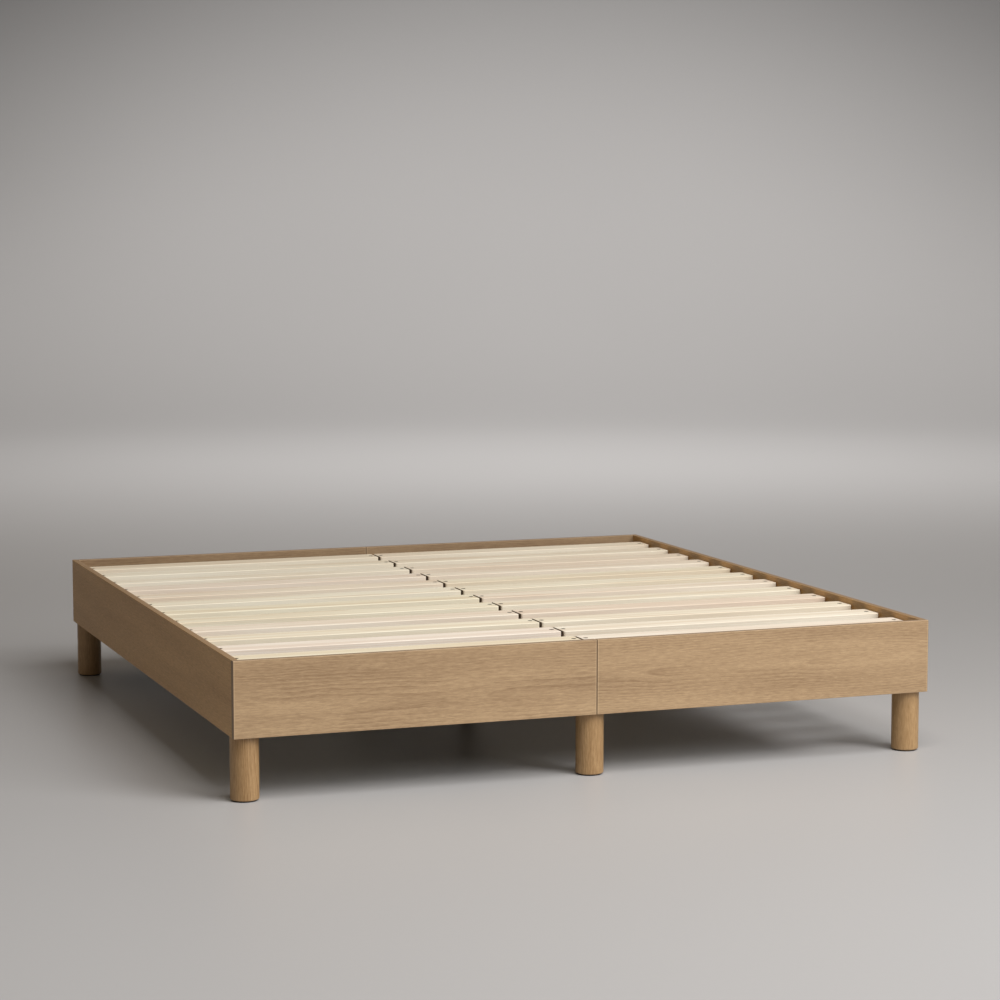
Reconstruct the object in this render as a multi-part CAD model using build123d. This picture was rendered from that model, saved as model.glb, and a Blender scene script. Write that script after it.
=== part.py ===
from build123d import *
import os

# Low platform bed frame for a king mattress.
# Millimetres. X runs across the bed (+X is its right side, seen from the foot),
# Y runs along it (+Y is the head end), Z is up. The origin is on the floor, under the middle.

# ---- overall sizes ----
mattress_width = 1930.0
mattress_length = 2032.0
mattress_clearance = 2.0        # between the mattress and each panel
panel_thickness = 18.0
panel_height = 200.0
panel_ease = 1.5                # eased edges of the panels
seam_gap = 1.0                  # between the two halves of the foot panel, and of the head panel

# ---- legs ----
leg_height = 168.0              # floor to the underside of the panels
leg_diameter = 75.0
leg_side_reveal = 3.0           # side rail's outer face to the nearest point of a corner leg
leg_end_overlap = 3.5           # how far a leg reaches under the foot or head panel
leg_foot_round = 4.0
leg_top_ease = 1.0
glide_thickness = 3.0
glide_margin = 1.0              # flat wood left showing round the glide
glide_pin_diameter = 5.0
glide_pin_length = 12.0

# ---- slats ----
slat_count = 12                 # in each of the two columns
slat_width = 85.0
slat_thickness = 20.0
slat_ease = 2.0
slat_corner = 7.0               # rounded corners of a slat's ends, seen from above
slat_recess = 15.0              # panel's top edge down to the slats' top faces
slat_end_clearance = 3.0        # slat end to the side rail
slat_centre_gap = 6.0           # between the ends of a left and a right slat
slat_end_gap = 65.0             # foot or head panel's inner face to the nearest slat

# ---- rails and ledges under the slats, and blocks in the corners ----
ledge_width = 44.0
ledge_height = 32.0
centre_rail_thickness = 34.0
centre_rail_height = 90.0
block_margin = 3.0              # block wider than the leg that stands under it
block_ease = 1.5
seam_block_width = 150.0

# ---- centre leg and its levelling foot ----
centre_leg_diameter = 50.0
plate_thickness = 5.0
plate_length = 100.0
plate_side_margin = 3.0         # plate narrower than the two centre rails, on each side
plate_corner = 6.0
pad_diameter = 42.0
pad_thickness = 8.0
pad_round = 2.0
collar_across_flats = 14.0
collar_height = 6.0
foot_retract = 10.0             # free travel above the collar
stem_engagement = 50.0          # stem inside the leg at rest

# ---- fasteners ----
thread_clearance = 0.05         # radial, a thread in its own hole
pass_clearance = 0.3            # radial, a shank through a plain hole
tip_clearance = 3.0             # hole left beyond a fastener's tip
head_clearance = 1.0            # radial, a screw or bolt head in a deep well
blind_skin = 1.0                # least wood left in front of a blind hole
m8_diameter = 8.0
insert_diameter = 13.0
insert_length = 25.0
leg_bolt_in_leg = 45.0
leg_bolt_in_block = 35.0
slat_screw_diameter = 6.0
slat_screw_head_diameter = 14.0
slat_screw_head_height = 2.2
slat_screw_head_round = 0.6
slat_screw_head_clearance = 0.3 # radial, in the slat's counterbore
slat_screw_sink = 0.3           # head's top face below the slat's top face
slat_screw_socket = 4.0         # across flats
slat_screw_socket_depth = 1.6
slat_screw_bite = 18.0          # screw in the ledge or the centre rail
panel_bolt_diameter = 6.0
panel_bolt_head_diameter = 12.0
panel_bolt_head_height = 4.0
panel_bolt_socket = 5.0         # across flats
panel_bolt_bite = 12.0          # bolt in the panel
panel_bolt_grip = 34.0          # block left between the bolt's head and the panel
panel_bolt_row = 20.0           # least spacing of the rows of bolts in a block
ledge_screw_diameter = 5.0
ledge_screw_head_diameter = 9.0
ledge_screw_head_height = 3.0
ledge_screw_grip = 28.0         # ledge left between the screw's head and the side rail
ledge_screw_bite = 12.0         # screw in the side rail
rail_bolt_head_diameter = 15.0
rail_bolt_head_height = 2.5
rail_bolt_head_clearance = 0.5  # radial, in the centre rail
rail_bolt_socket = 4.0          # across flats
rail_nut_diameter = 9.0
rail_nut_length = 30.0
rail_bolt_diameter = 6.0
bracket_width = 60.0            # along Z
bracket_leg = 40.0
bracket_thickness = 2.5
bracket_bend = 1.0              # inside radius
bracket_screw_diameter = 4.0
bracket_screw_head_diameter = 8.0
bracket_screw_head_height = 2.4
bracket_screw_bite = 12.0
bracket_screw_edge = 14.0       # hole centre to the bracket's ends
plate_screw_edge = 14.0

# ---- places worked out from the sizes ----
inner_half_width = mattress_width / 2 + mattress_clearance
inner_half_length = mattress_length / 2 + mattress_clearance
half_width = inner_half_width + panel_thickness
half_length = inner_half_length + panel_thickness
panel_top = leg_height + panel_height
slat_top = panel_top - slat_recess
slat_bottom = slat_top - slat_thickness
ledge_bottom = slat_bottom - ledge_height
centre_rail_bottom = slat_bottom - centre_rail_height
slat_pitch = (2 * (inner_half_length - slat_end_gap) - slat_width) / (slat_count - 1)
leg_x = half_width - leg_side_reveal - leg_diameter / 2
leg_y = inner_half_length + leg_end_overlap - leg_diameter / 2
block_width = leg_side_reveal + leg_diameter + block_margin - panel_thickness
block_depth = leg_diameter - leg_end_overlap + block_margin
outer_screw_x = inner_half_width - ledge_width / 2
inner_screw_x = centre_rail_thickness / 2
plate_width = 2 * (centre_rail_thickness - plate_side_margin)
plate_bottom = centre_rail_bottom - plate_thickness
centre_leg_bottom = pad_thickness + collar_height + foot_retract
head_seat = slat_screw_head_height + slat_screw_sink

SIDES = {"left": -1, "right": 1}
ENDS = {"front": -1, "back": 1}
AXIS_TURN = {
    "+X": (0, 90, 0), "-X": (0, -90, 0),
    "+Y": (-90, 0, 0), "-Y": (90, 0, 0),
    "+Z": (0, 0, 0), "-Z": (180, 0, 0),
}


def block(x_range, y_range, z_range):
    """A box between two corners, whichever way round the limits are given."""
    spans = [sorted(r) for r in (x_range, y_range, z_range)]
    size = [high - low for low, high in spans]
    middle = [(low + high) / 2 for low, high in spans]
    return Pos(*middle) * Box(*size)


def rod(start, way, length, diameter):
    """A round rod or hole that leaves a point along a main direction, such as '+X'."""
    shape = Cylinder(diameter / 2, length, align=(Align.CENTER, Align.CENTER, Align.MIN))
    return Pos(*start) * Rot(*AXIS_TURN[way]) * shape


def hex_rod(start, way, length, across_flats):
    outline = RegularPolygon(across_flats / 2, 6, major_radius=False)
    return Pos(*start) * Rot(*AXIS_TURN[way]) * extrude(outline, amount=length)


def eased(shape, radius):
    """A board with all its edges rounded."""
    return fillet(shape.edges(), radius)


def group(pieces):
    return Compound(children=list(pieces))


def slat_y(index):
    return -inner_half_length + slat_end_gap + slat_width / 2 + index * slat_pitch


def gap_places():
    """Middles of every second gap between slats, where ledges and centre rails take their own fasteners."""
    return [slat_y(index) + slat_pitch / 2 for index in range(0, slat_count - 1, 2)]


def bolt_rows(bottom, top, least):
    """Heights of evenly spaced rows of bolts, at least so many of them."""
    count = max(least, int((top - bottom) // panel_bolt_row))
    step = (top - bottom) / count
    return [bottom + (row + 0.5) * step for row in range(count)]


def corner_rows():
    """Rows above the leg's bolt: every second one goes into the side rail, the others into the end panel."""
    bottom = leg_height + leg_bolt_in_block + tip_clearance
    rows = bolt_rows(bottom, ledge_bottom, 2)
    return rows[0::2], rows[1::2]


def seam_rows():
    rows = bolt_rows(leg_height, centre_rail_bottom, 1)
    return [rows[0], rows[-1]] if len(rows) > 1 else rows


# ---- panel bolts: where they are, the holes they need, and the bolts ----

def corner_bolt_places(side, end):
    """(start on the panel's inner face, direction out of the block) of each bolt in one corner."""
    side_rows, end_rows = corner_rows()
    inward_x = "-X" if side > 0 else "+X"
    inward_y = "-Y" if end > 0 else "+Y"
    bolt_y = end * (inner_half_length - block_depth / 2)
    bolt_x = side * (inner_half_width - block_width / 2)
    places = [((side * inner_half_width, bolt_y, z), inward_x) for z in side_rows]
    places += [((bolt_x, end * inner_half_length, z), inward_y) for z in end_rows]
    return places


def seam_bolt_places(end):
    inward_y = "-Y" if end > 0 else "+Y"
    offset = (seam_block_width / 2 + leg_diameter / 2) / 2
    return [((side * offset, end * inner_half_length, z), inward_y)
            for side in SIDES.values() for z in seam_rows()]


def shifted(point, way, distance):
    """A point moved along a main direction."""
    sign = 1 if way[0] == "+" else -1
    return tuple(c + sign * distance * (axis == way[1]) for c, axis in zip(point, "XYZ"))


def opposite(way):
    return ("-" if way[0] == "+" else "+") + way[1]


def panel_bolt(place):
    point, inward = place
    tip = shifted(point, opposite(inward), panel_bolt_bite)
    seat = shifted(point, inward, panel_bolt_grip)
    shank = rod(tip, inward, panel_bolt_bite + panel_bolt_grip, panel_bolt_diameter)
    head = rod(seat, inward, panel_bolt_head_height, panel_bolt_head_diameter)
    socket_floor = shifted(seat, inward, panel_bolt_head_height / 2)
    socket = hex_rod(socket_floor, inward, panel_bolt_head_height, panel_bolt_socket)
    return shank + head - socket


def panel_bolt_hole_in_block(place, block_reach):
    point, inward = place
    seat = shifted(point, inward, panel_bolt_grip)
    clear = rod(point, inward, panel_bolt_grip, panel_bolt_diameter + 2 * pass_clearance)
    well = rod(seat, inward, block_reach, panel_bolt_head_diameter + 2 * head_clearance)
    return clear + well


def panel_bolt_hole_in_panel(place):
    point, inward = place
    depth = min(panel_bolt_bite + tip_clearance, panel_thickness - blind_skin)
    return rod(point, opposite(inward), depth, panel_bolt_diameter + 2 * thread_clearance)


# ---- panels ----

def side_rail(side):
    """Its front end stops behind the foot panel, and its back end covers the end of the head panel."""
    rail = block((side * inner_half_width, side * half_width), (-inner_half_length, half_length),
                 (leg_height, panel_top))
    rail = eased(rail, panel_ease)
    for end in ENDS.values():
        for place in corner_bolt_places(side, end):
            if place[1][1] == "X":
                rail -= panel_bolt_hole_in_panel(place)
    for screw_y in gap_places():
        rail -= rod((side * inner_half_width, screw_y, ledge_screw_z()), "+X" if side > 0 else "-X",
                    min(ledge_screw_bite + tip_clearance, panel_thickness - blind_skin),
                    ledge_screw_diameter + 2 * thread_clearance)
    return rail


def end_panel(side, end):
    """Half of the foot or head panel. The foot panel covers the side rails' ends, and the head panel fits
    between the rails."""
    outer_end = half_width if end == ENDS["front"] else inner_half_width
    panel = block((side * seam_gap / 2, side * outer_end), (end * inner_half_length, end * half_length),
                  (leg_height, panel_top))
    panel = eased(panel, panel_ease)
    places = [p for p in corner_bolt_places(side, end) if p[1][1] == "Y"]
    places += [p for p in seam_bolt_places(end) if p[0][0] * side > 0]
    for place in places:
        panel -= panel_bolt_hole_in_panel(place)
    for hole in bracket_panel_holes(side, end):
        panel -= hole
    return panel


# ---- blocks that join the panels and take the legs ----

def leg_bolt_well(x, y):
    """Stepped hole up into a block: the insert stops at the step, and the bolt's tip goes on."""
    insert_hole = rod((x, y, leg_height), "+Z", insert_length, insert_diameter + 2 * thread_clearance)
    tip_hole = rod((x, y, leg_height), "+Z", leg_bolt_in_block + tip_clearance,
                   m8_diameter + 2 * pass_clearance)
    return insert_hole + tip_hole


def corner_block(side, end):
    body = block((side * inner_half_width, side * (inner_half_width - block_width)),
                 (end * inner_half_length, end * (inner_half_length - block_depth)),
                 (leg_height, ledge_bottom))
    body = fillet(body.edges().filter_by(Axis.Z), block_ease)
    body -= leg_bolt_well(side * leg_x, end * leg_y)
    for place in corner_bolt_places(side, end):
        body -= panel_bolt_hole_in_block(place, max(block_width, block_depth))
    return body


def seam_block(end):
    body = block((-seam_block_width / 2, seam_block_width / 2),
                 (end * inner_half_length, end * (inner_half_length - block_depth)),
                 (leg_height, centre_rail_bottom))
    body = fillet(body.edges().filter_by(Axis.Z), block_ease)
    body -= leg_bolt_well(0, end * leg_y)
    for place in seam_bolt_places(end):
        body -= panel_bolt_hole_in_block(place, block_depth)
    return body


# ---- ledges and centre rails ----

def ledge_screw_z():
    return ledge_bottom + ledge_height / 2


def slat_screw_pilot(x, y):
    return rod((x, y, slat_bottom), "-Z", slat_screw_bite + tip_clearance,
               slat_screw_diameter + 2 * thread_clearance)


def slat_ledge(side):
    ledge = block((side * inner_half_width, side * (inner_half_width - ledge_width)),
                  (-inner_half_length, inner_half_length), (ledge_bottom, slat_bottom))
    ledge = fillet(ledge.edges().filter_by(Axis.Y), block_ease)
    inward = "-X" if side > 0 else "+X"
    for screw_y in gap_places():
        start = (side * inner_half_width, screw_y, ledge_screw_z())
        ledge -= rod(start, inward, ledge_screw_grip, ledge_screw_diameter + 2 * pass_clearance)
        ledge -= rod(shifted(start, inward, ledge_screw_grip), inward, ledge_width,
                     ledge_screw_head_diameter + 2 * head_clearance)
    for index in range(slat_count):
        ledge -= slat_screw_pilot(side * outer_screw_x, slat_y(index))
    return ledge


def rail_bolt_z():
    return centre_rail_bottom + centre_rail_height / 2


def centre_rail(side):
    rail = block((0, side * centre_rail_thickness), (-inner_half_length, inner_half_length),
                 (centre_rail_bottom, slat_bottom))
    rail = fillet(rail.edges().filter_by(Axis.Y), block_ease)
    outward = "+X" if side > 0 else "-X"
    bore = (rail_nut_diameter if side > 0 else rail_bolt_diameter) + 2 * pass_clearance
    for bolt_y in gap_places():
        rail -= rod((0, bolt_y, rail_bolt_z()), outward, centre_rail_thickness, bore)
        rail -= rod((side * (centre_rail_thickness - rail_bolt_head_height), bolt_y, rail_bolt_z()), outward,
                    centre_rail_thickness, rail_bolt_head_diameter + 2 * rail_bolt_head_clearance)
    for index in range(slat_count):
        rail -= slat_screw_pilot(side * inner_screw_x, slat_y(index))
    for hole in bracket_rail_holes(side) + plate_screw_holes(side):
        rail -= hole
    return rail


def rail_bolt(bolt_y):
    """Flat-headed bolt from the left rail, its thread in the sleeve nut."""
    seat = (-centre_rail_thickness + rail_bolt_head_height, bolt_y, rail_bolt_z())
    nut_mouth = centre_rail_thickness - rail_bolt_head_height - rail_nut_length
    shank = rod(seat, "+X", -seat[0] + nut_mouth + rail_nut_length / 2, rail_bolt_diameter)
    head = rod(seat, "-X", rail_bolt_head_height, rail_bolt_head_diameter)
    socket_floor = shifted(seat, "-X", rail_bolt_head_height / 2)
    socket = hex_rod(socket_floor, "-X", rail_bolt_head_height, rail_bolt_socket)
    return shank + head - socket


def rail_nut(bolt_y):
    """Sleeve nut from the right rail, with the same flat head."""
    seat = (centre_rail_thickness - rail_bolt_head_height, bolt_y, rail_bolt_z())
    sleeve = rod(seat, "-X", rail_nut_length, rail_nut_diameter)
    head = rod(seat, "+X", rail_bolt_head_height, rail_bolt_head_diameter)
    mouth = shifted(seat, "-X", rail_nut_length)
    thread = rod(mouth, "+X", rail_nut_length / 2 + tip_clearance, rail_bolt_diameter + 2 * thread_clearance)
    socket_floor = shifted(seat, "+X", rail_bolt_head_height / 2)
    socket = hex_rod(socket_floor, "+X", rail_bolt_head_height, rail_bolt_socket)
    return sleeve + head - thread - socket


def ledge_screw(side, screw_y):
    outward = "+X" if side > 0 else "-X"
    seat = (side * (inner_half_width - ledge_screw_grip), screw_y, ledge_screw_z())
    shank = rod(seat, outward, ledge_screw_grip + ledge_screw_bite, ledge_screw_diameter)
    head = rod(seat, opposite(outward), ledge_screw_head_height, ledge_screw_head_diameter)
    return shank + head


# ---- slats and their screws ----

def slat(side, index):
    y = slat_y(index)
    board = block((side * slat_centre_gap / 2, side * (inner_half_width - slat_end_clearance)),
                  (y - slat_width / 2, y + slat_width / 2), (slat_bottom, slat_top))
    board = fillet(board.edges().filter_by(Axis.Z), slat_corner)
    rims = board.edges().group_by(Axis.Z)
    board = fillet(rims[0] + rims[-1], slat_ease)
    hole_diameter = slat_screw_diameter + 2 * pass_clearance
    well_diameter = slat_screw_head_diameter + 2 * slat_screw_head_clearance
    for x in (inner_screw_x, outer_screw_x):
        board -= rod((side * x, y, slat_bottom), "+Z", slat_thickness, hole_diameter)
        board -= rod((side * x, y, slat_top - head_seat), "+Z", head_seat, well_diameter)
    return board


def slat_screw(x, y):
    seat = (x, y, slat_top - head_seat)
    shank = rod(seat, "-Z", slat_thickness - head_seat + slat_screw_bite, slat_screw_diameter)
    head = rod(seat, "+Z", slat_screw_head_height, slat_screw_head_diameter)
    head = fillet(head.edges().group_by(Axis.Z)[-1], slat_screw_head_round)
    floor = slat_screw_head_height - slat_screw_socket_depth
    socket = hex_rod(shifted(seat, "+Z", floor), "+Z", slat_screw_socket_depth, slat_screw_socket)
    return shank + head - socket


# ---- legs ----

def leg(x, y):
    length = leg_height - glide_thickness
    wood = rod((x, y, glide_thickness), "+Z", length, leg_diameter)
    rims = wood.edges().filter_by(GeomType.CIRCLE).sort_by(Axis.Z)
    wood = fillet(rims[0], leg_foot_round)
    wood = chamfer(wood.edges().filter_by(GeomType.CIRCLE).sort_by(Axis.Z)[-1], leg_top_ease)
    wood -= rod((x, y, leg_height), "-Z", leg_bolt_in_leg, m8_diameter + 2 * thread_clearance)
    wood -= rod((x, y, glide_thickness), "+Z", glide_pin_length + tip_clearance,
                glide_pin_diameter + 2 * thread_clearance)
    return wood


def leg_places():
    return {f"{end_name}_{place}": (x * leg_x, end * leg_y)
            for end_name, end in ENDS.items()
            for place, x in (("left", -1), ("middle", 0), ("right", 1))}


def leg_glide(x, y):
    diameter = leg_diameter - 2 * (leg_foot_round + glide_margin)
    disc = rod((x, y, 0), "+Z", glide_thickness, diameter)
    disc = fillet(disc.edges().group_by(Axis.Z)[0], glide_thickness / 3)
    return disc + rod((x, y, glide_thickness), "+Z", glide_pin_length, glide_pin_diameter)


def leg_bolt(x, y):
    return rod((x, y, leg_height - leg_bolt_in_leg), "+Z", leg_bolt_in_leg + leg_bolt_in_block, m8_diameter)


def threaded_insert(start, way):
    sleeve = rod(start, way, insert_length, insert_diameter)
    return sleeve - rod(start, way, insert_length, m8_diameter + 2 * thread_clearance)


# ---- centre leg, its plate and its levelling foot ----

def insert_well(start, way, depth):
    insert_hole = rod(start, way, insert_length, insert_diameter + 2 * thread_clearance)
    return insert_hole + rod(start, way, depth, m8_diameter + 2 * pass_clearance)


def centre_leg():
    length = plate_bottom - centre_leg_bottom
    wood = rod((0, 0, centre_leg_bottom), "+Z", length, centre_leg_diameter)
    wood = chamfer(wood.edges().filter_by(GeomType.CIRCLE), leg_top_ease)
    wood -= insert_well((0, 0, plate_bottom), "-Z", leg_bolt_in_block + tip_clearance)
    foot_depth = stem_engagement + foot_retract + tip_clearance
    wood -= insert_well((0, 0, centre_leg_bottom), "+Z", foot_depth)
    return wood


def plate_screw_places(side):
    return [(side * inner_screw_x, end * (plate_length / 2 - plate_screw_edge), plate_bottom)
            for end in ENDS.values()]


def plate_screw_holes(side):
    return [rod(shifted(p, "+Z", plate_thickness), "+Z", bracket_screw_bite + tip_clearance,
                bracket_screw_diameter + 2 * thread_clearance) for p in plate_screw_places(side)]


def centre_leg_plate():
    plate = block((-plate_width / 2, plate_width / 2), (-plate_length / 2, plate_length / 2),
                  (plate_bottom, centre_rail_bottom))
    plate = fillet(plate.edges().filter_by(Axis.Z), plate_corner)
    plate += rod((0, 0, plate_bottom), "-Z", leg_bolt_in_block, m8_diameter)
    for side in SIDES.values():
        for place in plate_screw_places(side):
            plate -= rod(place, "+Z", plate_thickness, bracket_screw_diameter + 2 * pass_clearance)
    return plate


def level_foot_stem():
    collar = hex_rod((0, 0, pad_thickness), "+Z", collar_height, collar_across_flats)
    length = collar_height + foot_retract + stem_engagement
    return collar + rod((0, 0, pad_thickness), "+Z", length, m8_diameter)


def level_foot_pad():
    pad = rod((0, 0, 0), "+Z", pad_thickness, pad_diameter)
    return fillet(pad.edges().group_by(Axis.Z)[-1], pad_round)


# ---- angle brackets at the ends of the centre rails, and their screws ----

def bracket_z():
    return centre_rail_bottom + centre_rail_height / 2


def bracket_screw_heights():
    reach = bracket_width / 2 - bracket_screw_edge
    return [bracket_z() - reach, bracket_z() + reach]


def rail_bracket(side, end):
    """Bent plate in the corner between a centre rail and an end panel."""
    z_range = (bracket_z() - bracket_width / 2, bracket_z() + bracket_width / 2)
    x = side * centre_rail_thickness
    y = end * inner_half_length
    on_rail = block((x, x + side * bracket_thickness), (y, y - end * bracket_leg), z_range)
    on_panel = block((x, x + side * bracket_leg), (y, y - end * bracket_thickness), z_range)
    angle = on_rail + on_panel
    corner = Vertex(x, y, bracket_z())
    inside = angle.edges().filter_by(Axis.Z).sort_by_distance(corner)[1]
    angle = fillet(inside, bracket_bend)
    outside = angle.edges().filter_by(Axis.Z).sort_by_distance(corner)[0]
    angle = fillet(outside, bracket_bend + bracket_thickness)
    for place, way in bracket_screw_places(side, end):
        angle -= rod(shifted(place, way, -bracket_thickness), way, bracket_thickness,
                     bracket_screw_diameter + 2 * pass_clearance)
    return angle


def bracket_screw_places(side, end):
    """(point on the wood, direction into the wood) of the four screws of one bracket."""
    into_rail = "-X" if side > 0 else "+X"
    into_panel = "+Y" if end > 0 else "-Y"
    reach = bracket_leg - bracket_screw_edge
    rail_x = side * centre_rail_thickness
    panel_y = end * inner_half_length
    places = [((rail_x, panel_y - end * reach, z), into_rail) for z in bracket_screw_heights()]
    places += [((rail_x + side * reach, panel_y, z), into_panel) for z in bracket_screw_heights()]
    return places


def screw_hole(place, way):
    return rod(place, way, bracket_screw_bite + tip_clearance, bracket_screw_diameter + 2 * thread_clearance)


def bracket_rail_holes(side):
    return [screw_hole(place, way) for end in ENDS.values()
            for place, way in bracket_screw_places(side, end) if way[1] == "X"]


def bracket_panel_holes(side, end):
    return [screw_hole(place, way) for place, way in bracket_screw_places(side, end) if way[1] == "Y"]


def bracket_screw(wood_point, way, metal):
    """Pan-headed screw through metal of a given thickness, into the wood."""
    seat = shifted(wood_point, way, -metal)
    shank = rod(seat, way, metal + bracket_screw_bite, bracket_screw_diameter)
    head = rod(seat, opposite(way), bracket_screw_head_height, bracket_screw_head_diameter)
    return shank + head


def bracket_screws():
    screws = [bracket_screw(place, way, bracket_thickness) for side in SIDES.values() for end in ENDS.values()
              for place, way in bracket_screw_places(side, end)]
    screws += [bracket_screw(shifted(place, "+Z", plate_thickness), "+Z", plate_thickness)
               for side in SIDES.values() for place in plate_screw_places(side)]
    return screws


# ---- the whole frame, node by node ----

def wooden_nodes():
    nodes = {}
    for side_name, side in SIDES.items():
        nodes[f"side_rail_{side_name}"] = side_rail(side)
        nodes[f"foot_panel_{side_name}"] = end_panel(side, ENDS["front"])
        nodes[f"head_panel_{side_name}"] = end_panel(side, ENDS["back"])
        nodes[f"slat_ledge_{side_name}"] = slat_ledge(side)
        nodes[f"centre_rail_{side_name}"] = centre_rail(side)
        for end_name, end in ENDS.items():
            nodes[f"corner_block_{end_name}_{side_name}"] = corner_block(side, end)
        for index in range(slat_count):
            nodes[f"slat_{side_name}_{index + 1:02d}"] = slat(side, index)
    nodes["seam_block_foot"] = seam_block(ENDS["front"])
    nodes["seam_block_head"] = seam_block(ENDS["back"])
    for name, (x, y) in leg_places().items():
        nodes[f"leg_{name}"] = leg(x, y)
    nodes["centre_leg"] = centre_leg()
    return nodes


def hardware_nodes():
    corners = [(side, end) for side in SIDES.values() for end in ENDS.values()]
    bolt_places = [p for corner in corners for p in corner_bolt_places(*corner)]
    bolt_places += [p for end in ENDS.values() for p in seam_bolt_places(end)]
    legs = leg_places().values()
    inserts = [threaded_insert((x, y, leg_height), "+Z") for x, y in legs]
    inserts.append(threaded_insert((0, 0, plate_bottom), "-Z"))
    inserts.append(threaded_insert((0, 0, centre_leg_bottom), "+Z"))
    return {
        "centre_leg_plate": centre_leg_plate(),
        "level_foot_stem": level_foot_stem(),
        "level_foot_pad": level_foot_pad(),
        "leg_glides": group(leg_glide(x, y) for x, y in legs),
        "leg_bolts": group(leg_bolt(x, y) for x, y in legs),
        "threaded_inserts": group(inserts),
        "slat_screws": group(slat_screw(side * x, slat_y(index)) for side in SIDES.values()
                             for x in (inner_screw_x, outer_screw_x) for index in range(slat_count)),
        "panel_bolts": group(panel_bolt(place) for place in bolt_places),
        "ledge_screws": group(ledge_screw(side, y) for side in SIDES.values() for y in gap_places()),
        "rail_bolts": group(rail_bolt(y) for y in gap_places()),
        "rail_nuts": group(rail_nut(y) for y in gap_places()),
        "rail_brackets": group(rail_bracket(side, end) for side, end in corners),
        "bracket_screws": group(bracket_screws()),
    }


os.makedirs("parts", exist_ok=True)
for name, shape in {**wooden_nodes(), **hardware_nodes()}.items():
    export_step(shape, f"parts/{name}.step")
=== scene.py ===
"""Looks of a low platform bed frame: oak-veneered rim, turned oak legs and pale slats, on a plain studio floor."""
import math

import bpy
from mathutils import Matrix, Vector


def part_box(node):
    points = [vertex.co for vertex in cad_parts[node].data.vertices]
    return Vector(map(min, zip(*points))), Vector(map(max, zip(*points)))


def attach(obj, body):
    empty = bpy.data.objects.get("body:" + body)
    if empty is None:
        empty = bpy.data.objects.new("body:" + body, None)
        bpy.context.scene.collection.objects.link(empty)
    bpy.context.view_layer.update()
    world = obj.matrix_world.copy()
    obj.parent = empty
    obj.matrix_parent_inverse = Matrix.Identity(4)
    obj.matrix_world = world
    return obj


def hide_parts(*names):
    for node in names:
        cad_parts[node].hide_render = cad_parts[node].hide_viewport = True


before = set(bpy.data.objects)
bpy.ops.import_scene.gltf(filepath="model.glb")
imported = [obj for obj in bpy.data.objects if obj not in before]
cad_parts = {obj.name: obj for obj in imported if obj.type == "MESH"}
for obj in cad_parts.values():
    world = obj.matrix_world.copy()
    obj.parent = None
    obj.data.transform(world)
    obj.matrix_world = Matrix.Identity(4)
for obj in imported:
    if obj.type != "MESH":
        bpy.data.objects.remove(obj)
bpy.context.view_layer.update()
MM = 0.001


def tone(red, green, blue):
    """A colour as painters' charts give it, 0 to 255, made linear."""
    def linear(c):
        c /= 255
        return c / 12.92 if c <= 0.04045 else ((c + 0.055) / 1.055) ** 2.4
    return (linear(red), linear(green), linear(blue), 1.0)


# ---- finishes: shader maths written as expressions ----

class Value:
    """A number that changes over a surface. An expression on it adds Math nodes to its finish."""

    def __init__(self, finish, socket):
        self.finish = finish
        self.socket = socket

    def __add__(self, other):
        return self.finish.maths("ADD", self, other)

    def __sub__(self, other):
        return self.finish.maths("SUBTRACT", self, other)

    def __rsub__(self, other):
        return self.finish.maths("SUBTRACT", other, self)

    def __mul__(self, other):
        return self.finish.maths("MULTIPLY", self, other)

    def __truediv__(self, other):
        return self.finish.maths("DIVIDE", self, other)

    def __pow__(self, other):
        return self.finish.maths("POWER", self, other)

    def __abs__(self):
        return self.finish.maths("ABSOLUTE", self)

    __radd__ = __add__
    __rmul__ = __mul__


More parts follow.
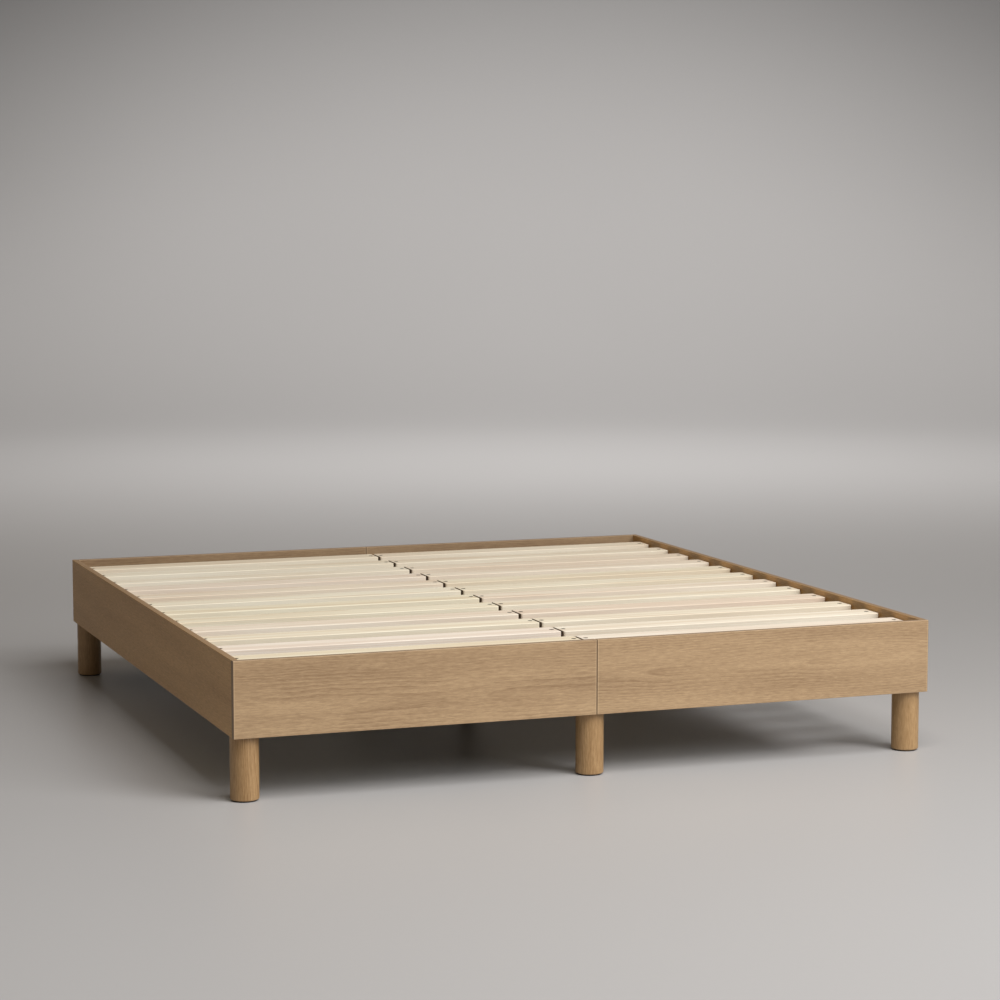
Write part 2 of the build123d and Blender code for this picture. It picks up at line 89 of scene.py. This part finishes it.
class Finish:
    """One material: its shader, and the nodes that feed it."""

    def __init__(self, name, **constants):
        self.material = bpy.data.materials.new(name)
        self.material.use_nodes = True
        self.tree = self.material.node_tree
        self.shader = self.tree.nodes["Principled BSDF"]
        self.set(**constants)

    def set(self, **sockets):
        """Feeds sockets of the shader. Their names are written with _ for a space."""
        for name, value in sockets.items():
            self.feed(self.shader.inputs[name.replace("_", " ")], value)

    def feed(self, socket, value):
        if isinstance(value, Value):
            self.tree.links.new(value.socket, socket)
        else:
            socket.default_value = value

    def node(self, kind, settings, inputs, output=0):
        """Adds a node: its settings first, then the values or links of its sockets."""
        made = self.tree.nodes.new("ShaderNode" + kind)
        for name, value in settings.items():
            setattr(made, name, value)
        for name, value in inputs.items():
            self.feed(made.inputs[name], value)
        return Value(self, made.outputs[output])

    def maths(self, operation, *values):
        return self.node("Math", {"operation": operation}, dict(enumerate(values)))

    def clamp(self, value):
        """The value held between 0 and 1."""
        return self.maths("MAXIMUM", self.maths("MINIMUM", value, 1.0), 0.0)

    def place(self):
        """The point on the piece, in metres, as x, y and z."""
        point = self.node("TexCoord", {}, {}, "Object")
        return [self.node("SeparateXYZ", {}, {0: point}, axis) for axis in "XYZ"]

    def facing(self):
        """How far the surface faces along x, y and z, either way."""
        normal = self.node("TexCoord", {}, {}, "Normal")
        return [abs(self.node("SeparateXYZ", {}, {0: normal}, axis)) for axis in "XYZ"]

    def point(self, x, y, z):
        return self.node("CombineXYZ", {}, {"X": x, "Y": y, "Z": z})

    def noise(self, point, detail=2.0, roughness=0.5):
        settings = {"noise_dimensions": "3D", "normalize": True}
        inputs = {"Vector": point, "Scale": 1.0, "Detail": detail, "Roughness": roughness}
        return self.node("TexNoise", settings, inputs)

    def speckle(self, place, rate):
        """Noise of the same size every way, with about this many specks to the metre."""
        x, y, z = place
        return self.noise(self.point(x * rate, y * rate, z * rate), 2.0)

    def ease(self, value, low, high):
        """0 below low, 1 above high, and smooth between. high may be the smaller."""
        return self.node("MapRange", {"interpolation_type": "SMOOTHSTEP"},
                         {"Value": value, "From Min": low, "From Max": high})

    def mix(self, share, first, second):
        """Two colours mixed by a share, or by a number that changes over the surface."""
        return self.node("Mix", {"data_type": "RGBA"}, {0: share, 6: first, 7: second}, 2)

    def choose(self, share, first, second):
        """Two numbers mixed by a share."""
        return first + (second - first) * share

    def bump(self, height, depth, strength=1.0):
        """A surface raised by height times depth, which is in metres."""
        self.set(Normal=self.node("Bump", {}, {"Height": height, "Distance": depth, "Strength": strength}))


def give(finish, *nodes):
    """The frame's own nodes take the finish in all their slots."""
    for name in nodes:
        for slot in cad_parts[name].material_slots:
            slot.material = finish.material


# ---- wood ----

# Each oak's late wood, early wood, pores and rays.
OAK_PANEL = (tone(149, 120, 88), tone(190, 160, 123), tone(96, 72, 48), tone(210, 183, 148))
# The side rails' oak is a lighter, warmer copy of the panels' oak: painted light on faces that the lamps leave in
# shade.
OAK_SIDE_PAINTED_LIGHT = (tone(174, 130, 77), tone(213, 170, 110), tone(110, 80, 45), tone(220, 185, 132))
OAK_LEG = (tone(150, 114, 72), tone(191, 156, 111), tone(100, 71, 43), tone(202, 170, 126))
# Painted shade: the darker tone of the panels' top faces.
OAK_TOP_SHADE = tone(142, 118, 94)
# Painted shade: the darker tone of the head panels' inner faces.
OAK_INNER_SHADE = tone(84, 62, 42)
# Dark softwood's late and early wood.
DARK_TIMBER = (tone(52, 37, 25), tone(88, 66, 46))
# Painted shade for the slats' ends in the gap at the middle of the bed.
SLAT_END_SHADE = tone(96, 74, 50)

# How long along the grain and how wide across it each mark in the wood is, in metres.
OAK_LINE = (0.14, 0.0016)
OAK_FLECK = (0.026, 0.0027)
OAK_DRIFT = (0.8, 0.05)
OAK_PATCH = (0.35, 0.07)
OAK_PORE = (0.011, 0.00045)
OAK_RAY = (0.02, 0.0025)
PINE_LINE = (0.3, 0.0016)
PINE_DRIFT = (0.7, 0.03)

# How squarely a face has to look along an axis before what marks it starts to show, and shows in full: edging on
# an end, painted shade on a top.
SQUARE_ON = (0.75, 0.85)


def arrises(finish, place, low, high, reach):
    """1 on the eased edges of a board that fills the box from low to high, 0 away from them."""
    near = [finish.ease(finish.maths("MINIMUM", value - bottom, top - value), reach, 0.0)
            for value, bottom, top in zip(place, low, high)]
    return finish.maths("MINIMUM", near[0] * near[1] + near[1] * near[2] + near[0] * near[2], 1.0)


def log_rings(finish, grain, log):
    """Growth rings of the log that a board was cut from: 0 in early wood, rising to 1 in each ring's late wood.
    Their centre line is at heart across the board and at pith behind it. It sways slowly along the board, and
    the rings ripple finely."""
    along, across, deep = grain
    seed = log["seed"]
    sway = finish.noise(finish.point(along * log["sway_rate"] + seed, across * 1.5, deep * 1.5 + seed), 1.0)
    ripple = finish.noise(finish.point(along * 9.0 + seed, across * 24.0, deep * 24.0), 2.0)
    depth = deep + log["pith"] + (sway - 0.5) * log["sway"]
    side = across - log["heart"] + (ripple - 0.5) * log["ripple"]
    radius = finish.maths("SQRT", side * side + depth * depth)
    phase = finish.maths("FRACT", radius / log["ring"])
    return phase * phase * finish.ease(phase, 1.0, 0.9)


def streaks(finish, grain, size, seed, detail=3.0):
    """Long thin noise that runs with the grain, in marks of about this length and width."""
    along, across, deep = grain
    length, width = size
    return finish.noise(finish.point(along / length + seed, across / width, deep / width + seed), detail, 0.6)


def oak(finish, grain, log, palette, roughness, overlays=()):
    """Lacquered oak: rippled rings, short flecks, open pores, pale rays and a slow drift of colour.
    An overlay is a share and the colour it brings."""
    seed = log["seed"]
    late = log_rings(finish, grain, log)
    fine = streaks(finish, grain, OAK_LINE, seed)
    flecks = streaks(finish, grain, OAK_FLECK, seed + 7.0, 2.0)
    drift = streaks(finish, grain, OAK_DRIFT, seed + 5.0, 1.0)
    patch = finish.ease(streaks(finish, grain, OAK_PATCH, seed + 3.0, 1.0), 0.38, 0.60)
    pores = finish.ease(streaks(finish, grain, OAK_PORE, seed + 9.0, 1.0), 0.60, 0.72)
    pores = pores * (1.0 - late) * 0.8
    rays = finish.ease(streaks(finish, grain, OAK_RAY, seed + 2.0, 0.0), 0.72, 0.80)
    late_tone, early_tone, pore_tone, ray_tone = palette
    middle_shade, pore_depth = 0.36, 0.12 * MM
    shade = late * log["contrast"] * (0.3 + 0.7 * patch)
    shade = shade + (fine - 0.5) * 0.7 + (flecks - 0.5) * 1.5 + (drift - 0.5) * 0.9 + middle_shade
    colour = finish.mix(finish.clamp(shade), early_tone, late_tone)
    colour = finish.mix(rays * 0.22, colour, ray_tone)
    colour = finish.mix(pores * 0.55, colour, pore_tone)
    for share, over in overlays:
        colour = finish.mix(share, colour, over)
    finish.set(Base_Color=colour, Roughness=roughness + (fine - 0.5) * 0.12 + pores * 0.15)
    finish.bump(0.6 * fine + 0.3 * late - pores, pore_depth, 0.5)


def panel_place(finish, run):
    """Grain coordinates of a veneered panel that runs along x or y: with its length, up it, and through it.
    On the panel's ends the edging's grain stands upright."""
    x, y, z = finish.place()
    facing = finish.facing()
    length, through, facing_end = (x, y, facing[0]) if run == "x" else (y, x, facing[1])
    on_end = finish.ease(facing_end, *SQUARE_ON)
    along = finish.choose(on_end, length, z)
    across = finish.choose(on_end, z, through)
    deep = finish.choose(on_end, through, length)
    return along, across, deep


def veneer(node, run, number, heart, pith, palette, contrast, inner_shade=0.0):
    """Oak veneer on a panel, with edging on its ends, painted shade on its top, painted highlights on its eased
    edges and near each end, a thin line of painted shade where each end meets its neighbour and, by the share of
    inner_shade, a darker inner face of painted shade."""
    low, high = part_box(node)
    middle = (low + high) / 2
    finish = Finish("oak_veneer_" + node, IOR=1.45, Coat_Weight=0.12, Coat_Roughness=0.35)
    along, across, deep = panel_place(finish, run)
    log = {"seed": 3.7 * number, "pith": pith, "heart": middle.z + heart, "sway": 0.062, "sway_rate": 1.5,
           "ripple": 0.013, "ring": 0.0060, "contrast": contrast}
    place = finish.place()
    length_axis, through_axis = (0, 1) if run == "x" else (1, 0)
    from_end = finish.maths("MINIMUM", place[length_axis] - low[length_axis],
                            high[length_axis] - place[length_axis])
    inner_face = low[through_axis] if middle[through_axis] > 0 else high[through_axis]
    inside = finish.ease(abs(place[through_axis] - inner_face), 1.2 * MM, 0.6 * MM)
    on_top = finish.ease(finish.facing()[2], *SQUARE_ON)
    pore_tone, ray_tone = palette[2:]
    # Painted shade on the top faces.
    overlays = [(on_top * 0.75, OAK_TOP_SHADE),
                # Painted shade on the head panels' inner faces.
                (inside * inner_shade, OAK_INNER_SHADE),
                # Painted highlight on the eased edges.
                (arrises(finish, place, low, high, 1.6 * MM) * 0.45, ray_tone),
                # Painted highlight a little way in from each end, and painted shade in the thin line at each end,
                # where the gap between panels lies in shadow.
                (finish.ease(from_end, 4.2 * MM, 3.2 * MM) * 0.35, ray_tone),
                (finish.ease(from_end, 1.7 * MM, 1.0 * MM) * 0.60, pore_tone)]
    oak(finish, (along, across, deep - middle[through_axis]), log, palette, 0.50, overlays)
    give(finish, node)


def turned_leg(node, number):
    """Solid oak turned round, each leg cut from another part of the log and turned another way."""
    low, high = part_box(node)
    middle = (low + high) / 2
    finish = Finish("turned_oak_" + node, IOR=1.45, Coat_Weight=0.15, Coat_Roughness=0.3)
    x, y, z = finish.place()
    turn = 0.7 + 1.1 * number
    across = (x - middle.x) * math.cos(turn) + (y - middle.y) * math.sin(turn)
    deep = (y - middle.y) * math.cos(turn) - (x - middle.x) * math.sin(turn)
    log = {"seed": 11.3 + 2.9 * number, "pith": 0.070, "heart": 0.008, "sway": 0.030, "sway_rate": 2.4,
           "ripple": 0.004, "ring": 0.0042, "contrast": 0.50}
    oak(finish, (z, across, deep), log, OAK_LEG, 0.45)
    give(finish, node)


def scatter(number, key):
    """A share from 0 to 1 that jumps about from one number to the next, the same on every run."""
    return math.modf(abs(math.sin(number * key)) * 43758.5453)[0]


def slat_palette(tint, blush):
    """Pale softwood's late and early wood, a little yellower or pinker from slat to slat."""
    return (tone(220, 199 - 5 * blush, 166 + 5 * blush),
            tone(245, 238 - 4 * blush, 217 - 5 * tint + 3 * blush))


def pine(node, number, run="x", palette=None, upright=False, painted_shade_end=None):
    """Planed softwood, pale or dark: even early wood with thin darker late-wood lines.
    An end face at x = painted_shade_end is painted dark: painted shade in the gap between slat ends."""
    low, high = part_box(node)
    middle = (low + high) / 2
    finish = Finish("pine_" + node, IOR=1.4)
    x, y, z = finish.place()
    length, side = (x, y) if run == "x" else (y, x)
    side_middle = middle.y if run == "x" else middle.x
    grain = (z, length, side) if upright else (length, side - side_middle, z - middle.z)
    seed = 2.3 * number
    tint = scatter(number, 12.9898)
    blush = scatter(number, 78.233)
    log = {"seed": seed, "pith": 0.045 + 0.05 * tint, "heart": 0.03 * math.sin(number * 4.1), "sway": 0.022,
           "sway_rate": 1.1, "ripple": 0.003, "ring": 0.0036}
    late = log_rings(finish, grain, log)
    fine = streaks(finish, grain, PINE_LINE, seed)
    drift = streaks(finish, grain, PINE_DRIFT, seed + 4.0, 1.0)
    late_tone, early_tone = palette or slat_palette(tint, blush)
    middle_shade, grain_depth = 0.20, 0.1 * MM
    shade = late * 0.45 + (fine - 0.5) * 0.5 + (drift - 0.5) * 1.3 + middle_shade + 0.28 * (tint - 0.5)
    colour = finish.mix(finish.clamp(shade), early_tone, late_tone)
    # Painted highlight: the eased edges are lighter.
    colour = finish.mix(arrises(finish, (x, y, z), low, high, 2.2 * MM) * 0.3, colour, early_tone)
    # Painted shade on the end face in the gap between slats.
    if painted_shade_end is not None:
        near_end = finish.ease(abs(x - painted_shade_end), 1.5 * MM, 0.5 * MM)
        colour = finish.mix(near_end * 0.8, colour, SLAT_END_SHADE)
    finish.set(Base_Color=colour, Roughness=0.62 + (fine - 0.5) * 0.15)
    finish.bump(0.7 * fine + 0.5 * late, grain_depth, 0.5)
    give(finish, node)


# ---- metal and nylon ----

def plated(name, colour, roughness, metallic, mottle):
    """Plated or powder-coated steel, with a fine mottle in its colour and gloss."""
    finish = Finish(name, Metallic=metallic)
    place = finish.place()
    grain = finish.speckle(place, 900)
    patch = finish.speckle(place, 70)
    lighter = tuple(min(1.0, c * (1 + mottle)) for c in colour[:3]) + (1.0,)
    finish.set(Base_Color=finish.mix(patch * 0.7 + grain * 0.3, colour, lighter),
               Roughness=roughness + (patch - 0.5) * 0.2 + (grain - 0.5) * 0.1)
    finish.bump(grain, 0.02 * MM, 0.4)
    return finish


# ---- new pieces ----

STEM_RADIUS = 4.0 * MM
THREAD_PITCH = 1.25 * MM
THREAD_DEPTH = 0.54 * MM
THREAD_RUNOUT = 1.0 * MM
COLLAR_HEIGHT = 6.0 * MM
COLLAR_ACROSS_FLATS = 14.0 * MM


def fresh():
    """Nothing selected, so that the next operator acts on the next piece alone."""
    if bpy.context.mode != "OBJECT":
        bpy.ops.object.mode_set(mode="OBJECT")
    bpy.ops.object.select_all(action="DESELECT")


def apply_all(piece):
    """Modifiers applied and the piece's place put into its mesh."""
    bpy.context.view_layer.objects.active = piece
    for modifier in list(piece.modifiers):
        bpy.ops.object.modifier_apply(modifier=modifier.name)
    bpy.ops.object.transform_apply(location=True, rotation=True, scale=True)


def upright_cylinder(bottom, top, radius, corners):
    """A capped cylinder or prism on the z axis."""
    fresh()
    bpy.ops.mesh.primitive_cylinder_add(vertices=corners, radius=radius, depth=top - bottom,
                                        location=(0, 0, (bottom + top) / 2))
    return bpy.context.object


def chamfer(piece, width, segments):
    """The piece's sharp edges eased, and its place put into its mesh."""
    bevel = piece.modifiers.new("chamfer", "BEVEL")
    bevel.width = width
    bevel.segments = segments
    bevel.limit_method = "ANGLE"
    apply_all(piece)
    return piece


def stem_thread(bottom, top):
    """Helical ridge of a thread: a small diamond wound round the stem, closed at both ends."""
    fresh()
    turns = int((top - bottom - 2 * THREAD_DEPTH) / THREAD_PITCH)
    bpy.ops.mesh.primitive_circle_add(vertices=4, radius=THREAD_DEPTH, rotation=(math.radians(90), 0, 0),
                                      location=(STEM_RADIUS - THREAD_DEPTH, 0, bottom + THREAD_DEPTH))
    ridge = bpy.context.object
    bpy.ops.object.transform_apply(location=True, rotation=True, scale=True)
    screw = ridge.modifiers.new("wind", "SCREW")
    screw.angle = math.radians(360)
    screw.screw_offset = THREAD_PITCH
    screw.iterations = turns
    screw.steps = 24
    screw.render_steps = 24
    apply_all(ridge)
    bpy.ops.object.mode_set(mode="EDIT")
    bpy.ops.mesh.select_all(action="SELECT")
    bpy.ops.mesh.remove_doubles(threshold=0.001 * MM)
    bpy.ops.mesh.fill_holes(sides=0)
    bpy.ops.mesh.select_all(action="SELECT")
    bpy.ops.mesh.normals_make_consistent(inside=False)
    bpy.ops.object.mode_set(mode="OBJECT")
    return ridge


def levelling_stem(finish):
    """Threaded stem of the centre leg's levelling foot, with a hexagonal collar, in place of the plain rod."""
    low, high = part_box("level_foot_stem")
    collar_top = low.z + COLLAR_HEIGHT
    collar_radius = COLLAR_ACROSS_FLATS / 2 / math.cos(math.radians(30))
    core = chamfer(upright_cylinder(low.z, high.z, STEM_RADIUS - THREAD_DEPTH, 32), 0.7 * MM, 1)
    ridge = stem_thread(collar_top, high.z - THREAD_RUNOUT)
    collar = chamfer(upright_cylinder(low.z, collar_top, collar_radius, 6), 0.5 * MM, 2)
    fresh()
    for part in (core, ridge, collar):
        part.select_set(True)
    bpy.context.view_layer.objects.active = core
    bpy.ops.object.join()
    core.name = "levelling_stem"
    core.data.materials.clear()
    core.data.materials.append(finish.material)
    bpy.ops.object.shade_smooth_by_angle(angle=math.radians(30))
    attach(core, "levelling_foot")
    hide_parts("level_foot_stem")


# ---- stage, light and camera ----

def studio_grey():
    """Floor paint: matt far off and a little glossier under the bed, with painted shade darkening the wall towards
    its top and corners.
    """
    finish = Finish("studio_grey")
    x, y, z = place = finish.place()
    cloud = finish.speckle(place, 0.35)
    grain = finish.speckle(place, 60)
    paint = finish.mix(cloud * 0.7 + grain * 0.3, tone(181, 180, 180), tone(187, 186, 186))
    # Painted shade: the wall darkens away from its brightest patch behind the bed, and towards its top.
    bright_x, bright_y = 4.3, 11.5
    from_bright = finish.maths("SQRT", (x - bright_x) ** 2 + (y - bright_y) ** 2 + z * z)
    corner = finish.ease(from_bright, 2.5, 6.5) * finish.ease(z, 0.0, 2.0) * finish.ease(y, 4.0, 8.0)
    top = finish.ease(z, 1.2, 5.0)
    finish.set(Base_Color=finish.mix(corner * 0.50 + top * 0.50, paint, tone(48, 47, 46)),
               Roughness=0.42 + 0.43 * finish.ease(y, 1.0, 7.0))
    return finish


def cyclorama():
    """A round pale floor that curves up into a wall on all sides."""
    fresh()
    start_radius, flat_radius, bend_radius, wall_height = 9.5, 10.0, 4.0, 6.0
    steps, gentleness = 24, 1.5
    bpy.ops.mesh.primitive_circle_add(vertices=144, radius=start_radius, fill_type="NGON")
    floor = bpy.context.object
    floor.name = "studio_floor"
    bpy.ops.object.mode_set(mode="EDIT")
    bpy.ops.mesh.select_all(action="SELECT")
    bpy.ops.mesh.region_to_loop()
    radius, height = start_radius, 0.0
    rings = [(flat_radius, 0.0)]
    rings += [(flat_radius + bend_radius * math.sin(a), bend_radius * (1 - math.cos(a)) ** gentleness)
              for a in (math.radians(90) * step / steps for step in range(1, steps + 1))]
    rings.append((flat_radius + bend_radius, bend_radius + wall_height))
    for next_radius, next_height in rings:
        bpy.ops.mesh.extrude_edges_move(TRANSFORM_OT_translate={"value": (0, 0, next_height - height)})
        ratio = next_radius / radius
        bpy.ops.transform.resize(value=(ratio, ratio, 1), center_override=(0, 0, next_height))
        radius, height = next_radius, next_height
    bpy.ops.object.mode_set(mode="OBJECT")
    bpy.ops.object.shade_smooth()
    floor.data.materials.append(studio_grey().material)


def flag():
    """A black card between the legs that the camera can't see. It keeps light from falling through the slats
    to the floor, and stops short of the right rail, where some still does."""
    fresh()
    gap, right = 0.01, 0.68
    low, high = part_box("slat_ledge_left")
    left = low.x + gap
    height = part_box("corner_block_front_left")[0].z + gap
    bpy.ops.mesh.primitive_plane_add(size=1, location=((left + right) / 2, 0, height))
    card = bpy.context.object
    card.name = "light_flag"
    bpy.ops.transform.resize(value=(right - left, high.y - low.y, 1))
    bpy.ops.object.transform_apply(location=True, rotation=True, scale=True)
    finish = Finish("black_card", Roughness=0.9)
    finish.set(Base_Color=finish.mix(finish.speckle(finish.place(), 300), tone(8, 8, 8), tone(18, 18, 18)))
    card.data.materials.append(finish.material)
    card.visible_camera = False
    card.visible_glossy = False


def softbox(name, place, target, size, watts, colour):
    """A soft rectangular lamp that points at its target."""
    light = bpy.data.lights.new(name, "AREA")
    light.shape = "RECTANGLE"
    light.size, light.size_y = size
    light.energy = watts
    light.color = colour
    lamp = bpy.data.objects.new(name, light)
    lamp.location = place
    lamp.rotation_euler = (Vector(target) - Vector(place)).to_track_quat("-Z", "Y").to_euler()
    lamp.visible_camera = False
    bpy.context.scene.collection.objects.link(lamp)


def lights():
    """Two soft lamps at the foot end, one on the far wall, and a dim warm surround."""
    bed = (0, -0.3, 0.2)
    softbox("key", (4.6, -7.4, 4.8), bed, (5.0, 3.6), 385, (1.0, 0.99, 0.98))
    softbox("top", (0.8, -3.6, 5.3), bed, (4.6, 4.2), 330, (1.0, 0.995, 0.99))
    softbox("wall_wash", (3.2, 6.8, 5.6), (4.4, 10.8, 0.4), (6.0, 4.5), 400, (1.0, 0.99, 0.985))
    world = bpy.data.worlds.new("studio")
    world.use_nodes = True
    background = world.node_tree.nodes["Background"]
    background.inputs["Color"].default_value = tone(228, 209, 184)
    background.inputs["Strength"].default_value = 0.26
    bpy.context.scene.world = world


def camera():
    """Stands off the bed's front left corner, and looks slightly down."""
    down, right = 6.24, 20.03
    data = bpy.data.cameras.new("camera")
    data.sensor_width = 36.0
    data.lens = 96.92
    eye = bpy.data.objects.new("camera", data)
    eye.location = (-2.638, -7.525, 1.503)
    eye.rotation_euler = (math.radians(90 - down), 0, math.radians(-right))
    bpy.context.scene.collection.objects.link(eye)
    bpy.context.scene.camera = eye


# ---- putting the finishes on ----

def named(*starts):
    """The frame's nodes whose names start so, in alphabetical order."""
    return sorted(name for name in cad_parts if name.startswith(starts))


def dress_panels():
    """Each panel is cut from its own place in the log: how far above the panel's middle the rings' centre lies,
    and how far behind it."""
    cuts = {"foot_panel_left": (-0.030, 0.075), "foot_panel_right": (0.004, 0.060),
            "head_panel_left": (0.015, 0.080), "head_panel_right": (-0.020, 0.066),
            "side_rail_left": (-0.012, 0.070), "side_rail_right": (0.022, 0.078)}
    for number, (node, (heart, pith)) in enumerate(cuts.items(), 1):
        if node.startswith("side"):
            # Side rails take the lighter copy of the oak, as painted light.
            veneer(node, "y", number, heart, pith, OAK_SIDE_PAINTED_LIGHT, 0.2)
        else:
            # The head panels' inner faces get painted shade.
            inner_shade = 0.35 if node.startswith("head") else 0.0
            veneer(node, "x", number, heart, pith, OAK_PANEL, 0.6, inner_shade)


def dress_legs():
    for number, node in enumerate(name for name in named("leg_") if name.count("_") == 2):
        turned_leg(node, number)
    turned_leg("centre_leg", 9)


def dress_slats():
    """The slats' ends at the middle of the bed are painted dark: painted shade in the gap between them."""
    for number, node in enumerate(named("slat_left", "slat_right"), 1):
        low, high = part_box(node)
        pine(node, number, painted_shade_end=high.x if high.x < 0 else low.x)


def dress_timber():
    for number, node in enumerate(named("centre_rail") + named("slat_ledge"), 40):
        pine(node, number, "y", DARK_TIMBER)
    for number, node in enumerate(named("seam_block"), 50):
        pine(node, number, "x", DARK_TIMBER)
    for number, node in enumerate(named("corner_block"), 60):
        pine(node, number, "x", DARK_TIMBER, upright=True)


def dress_hardware():
    give(plated("dark_bronze", tone(40, 31, 23), 0.6, 0.2, 0.5), "slat_screws")
    zinc = plated("zinc_steel", tone(176, 174, 168), 0.34, 1.0, 0.15)
    give(zinc, "panel_bolts", "ledge_screws", "leg_bolts", "threaded_inserts", "rail_bolts", "rail_nuts",
         "bracket_screws")
    levelling_stem(zinc)
    give(plated("black_powder_coat", tone(38, 37, 36), 0.55, 0.0, 0.3), "centre_leg_plate", "rail_brackets")
    give(plated("black_nylon", tone(34, 32, 30), 0.6, 0.0, 0.25), "leg_glides", "level_foot_pad")


camera()
cyclorama()
flag()
lights()
dress_panels()
dress_legs()
dress_slats()
dress_timber()
dress_hardware()

scene = bpy.context.scene
scene.view_settings.view_transform = "Standard"
